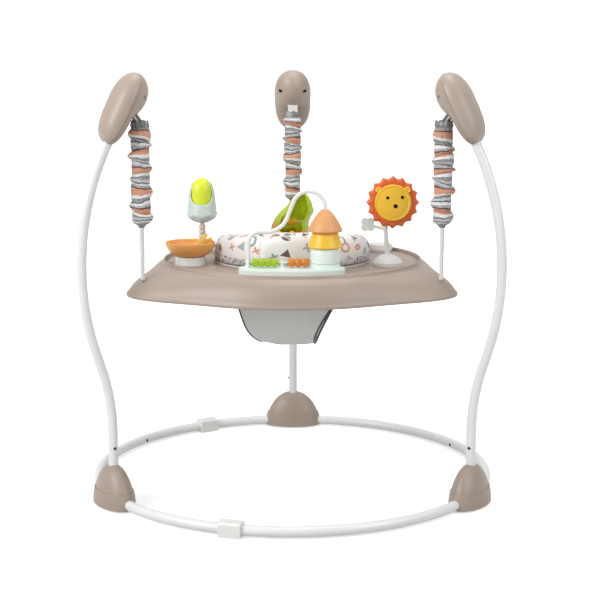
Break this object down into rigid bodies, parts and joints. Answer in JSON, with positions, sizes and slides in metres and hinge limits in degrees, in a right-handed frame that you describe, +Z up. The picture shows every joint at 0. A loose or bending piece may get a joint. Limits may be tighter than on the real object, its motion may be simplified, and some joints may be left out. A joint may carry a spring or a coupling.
{
  "type": "baby jumper frame",
  "caption": "Free-standing baby jumper: round floor ring, bowed legs with sprung hanger heads, a lobed toy tray and a turning cloth seat",
  "frame": {"origin": "middle of the bounding box, on the floor", "axes": "+Z up, the child looks along -Y, +X to the right in the picture"},
  "size_m": [0.82, 0.8746, 0.8308],
  "materials": {
    "powder_white_tube": "white powder coat on bent steel tube, satin",
    "zinc_steel": "zinc plated spring and pin steel",
    "dark_steel": "blackened screws and button pins",
    "taupe_shell": "taupe moulded shell, fine satin texture",
    "white_moulding": "white moulded plastic, soft gloss",
    "foot_rubber": "dark moulded rubber",
    "white_webbing": "woven white webbing",
    "sleeve_cotton": "striped cotton sleeve, gathered",
    "pad_cloth": "printed cotton over wadding",
    "ring_plastic": "pale grey moulded ring",
    "band_cloth": "pale grey sewn band",
    "mesh_cloth": "pale grey spacer mesh",
    "binding_tape": "dark grey binding tape",
    "mint_plastic": "pale mint moulding",
    "lime_plastic": "lime green moulding",
    "orange_plastic": "soft orange moulding",
    "yellow_plastic": "warm yellow moulding",
    "mane_plastic": "deep orange moulding",
    "brown_plastic": "dark brown inlay"
  },
  "bodies": {
    "frame": {"ring_arc_left": "powder_white_tube", "ring_arc_right": "powder_white_tube", "ring_arc_rear": "powder_white_tube", "ring_plugs": "zinc_steel", "floor_clips": "white_moulding", "foot_bases": "taupe_shell", "foot_covers": "taupe_shell", "foot_pads": "foot_rubber", "housing_screws": "dark_steel", "leg_stubs": "powder_white_tube", "leg_left": "powder_white_tube", "leg_right": "powder_white_tube", "leg_rear": "powder_white_tube", "head_back_left": "taupe_shell", "head_back_right": "taupe_shell", "head_back_rear": "taupe_shell", "head_face_left": "taupe_shell", "head_face_right": "taupe_shell", "head_face_rear": "taupe_shell", "hanger_pins": "zinc_steel", "hanger_loops": "white_webbing", "spring_top_caps": "white_moulding", "coil_springs": "zinc_steel", "spring_sleeves": "sleeve_cotton"},
    "tray": {"tray": "taupe_shell", "strap_anchors": "white_moulding", "tray_straps": "white_webbing", "spring_bottom_caps": "white_moulding", "toy_plate": "mint_plastic", "bead_wire": "white_moulding", "toy_bases": "white_moulding", "hood": "lime_plastic"},
    "seat": {"seat_ring": "ring_plastic", "seat_pad": "pad_cloth", "seat_band": "band_cloth", "seat_sling": "mesh_cloth", "sling_binding": "binding_tape"},
    "lime_roller": {"lime_roller": "lime_plastic"},
    "orange_roller": {"orange_roller": "orange_plastic"},
    "cone_mint": {"cone_mint": "mint_plastic"},
    "cone_yellow": {"cone_yellow": "yellow_plastic"},
    "cone_orange": {"cone_orange": "orange_plastic"},
    "bowl": {"bowl": "orange_plastic", "chips": "yellow_plastic"},
    "tulip": {"tulip_stem": "taupe_shell", "tulip_cup": "mint_plastic"},
    "tulip_ball": {"tulip_ball": "lime_plastic"},
    "lion_stalk": {"lion_stalk": "white_moulding", "lion_leaf": "mint_plastic"},
    "lion_head": {"lion_mane": "mane_plastic", "lion_face": "yellow_plastic", "lion_features": "brown_plastic"},
    "hood_roller": {"hood_roller": "orange_plastic"},
    "ring_button_front": {"ring_button_front": "dark_steel"},
    "ring_button_right": {"ring_button_right": "dark_steel"},
    "ring_button_left": {"ring_button_left": "dark_steel"},
    "leg_button_left": {"leg_button_left": "dark_steel"},
    "leg_button_right": {"leg_button_right": "dark_steel"},
    "leg_button_rear": {"leg_button_rear": "dark_steel"}
  },
  "joints": [
    {"name": "tray_bounce", "type": "slide", "parent": "frame", "child": "tray", "axis": [0, 0, 1], "range_m": [-0.08, 0.03], "stiffness_N_per_m": 1300, "springref_m": 0.02415, "deforming": ["coil_springs", "spring_sleeves"]},
    {"name": "seat_swivel", "type": "hinge", "parent": "tray", "child": "seat", "pos_m": [0, -0.02727, 0.452], "axis": [0, 0, 1], "continuous": true},
    {"name": "lime_spin", "type": "hinge", "parent": "tray", "child": "lime_roller", "pos_m": [-0.051, -0.22244, 0.475], "axis": [1, 0, 0], "continuous": true},
    {"name": "orange_spin", "type": "hinge", "parent": "tray", "child": "orange_roller", "pos_m": [0.012, -0.22244, 0.475], "axis": [1, 0, 0], "continuous": true},
    {"name": "cone_mint_spin", "type": "hinge", "parent": "tray", "child": "cone_mint", "pos_m": [0.06307, -0.21044, 0.488], "axis": [0, 0, 1], "continuous": true},
    {"name": "cone_yellow_spin", "type": "hinge", "parent": "tray", "child": "cone_yellow", "pos_m": [0.06307, -0.21044, 0.518], "axis": [0, 0, 1], "continuous": true},
    {"name": "cone_orange_spin", "type": "hinge", "parent": "tray", "child": "cone_orange", "pos_m": [0.06307, -0.21044, 0.553], "axis": [0, 0, 1], "continuous": true},
    {"name": "bowl_spin", "type": "hinge", "parent": "tray", "child": "bowl", "pos_m": [-0.20252, -0.08649, 0.468], "axis": [0, 0, 1], "continuous": true},
    {"name": "tulip_sway", "type": "hinge", "parent": "tray", "child": "tulip", "pos_m": [-0.19081, 0.09196, 0.472], "axis": [0, 1, 0], "range_deg": [-8, 8], "stiffness_Nm_per_rad": 2},
    {"name": "tulip_ball_spin", "type": "hinge", "parent": "tulip", "child": "tulip_ball", "pos_m": [-0.19081, 0.09196, 0.549], "axis": [0, 0, 1], "continuous": true},
    {"name": "lion_sway", "type": "hinge", "parent": "tray", "child": "lion_stalk", "pos_m": [0.18952, -0.10002, 0.472], "axis": [0, 1, 0], "range_deg": [-8, 8], "stiffness_Nm_per_rad": 3},
    {"name": "lion_spin", "type": "hinge", "parent": "lion_stalk", "child": "lion_head", "pos_m": [0.19752, -0.11192, 0.578], "axis": [0, 1, 0], "continuous": true},
    {"name": "hood_roller_spin", "type": "hinge", "parent": "tray", "child": "hood_roller", "pos_m": [-0.008, 0.17973, 0.507], "axis": [1, 0, 0], "continuous": true},
    {"name": "ring_button_front_press", "type": "slide", "parent": "frame", "child": "ring_button_front", "axis": [-0.0567, -0.9984, 0], "range_m": [0, 0.003], "stiffness_N_per_m": 900, "springref_m": -0.002},
    {"name": "ring_button_right_press", "type": "slide", "parent": "frame", "child": "ring_button_right", "axis": [0.893, 0.4501, 0], "range_m": [0, 0.003], "stiffness_N_per_m": 900, "springref_m": -0.002},
    {"name": "ring_button_left_press", "type": "slide", "parent": "frame", "child": "ring_button_left", "axis": [-0.8363, 0.5483, 0], "range_m": [0, 0.003], "stiffness_N_per_m": 900, "springref_m": -0.002},
    {"name": "leg_button_left_press", "type": "slide", "parent": "frame", "child": "leg_button_left", "axis": [-0.5, 0.866, 0], "range_m": [0, 0.003], "stiffness_N_per_m": 900, "springref_m": -0.002},
    {"name": "leg_button_right_press", "type": "slide", "parent": "frame", "child": "leg_button_right", "axis": [0.5, 0.866, 0], "range_m": [0, 0.003], "stiffness_N_per_m": 900, "springref_m": -0.002},
    {"name": "leg_button_rear_press", "type": "slide", "parent": "frame", "child": "leg_button_rear", "axis": [1, 0, 0], "range_m": [0, 0.003], "stiffness_N_per_m": 900, "springref_m": -0.002}
  ]
}
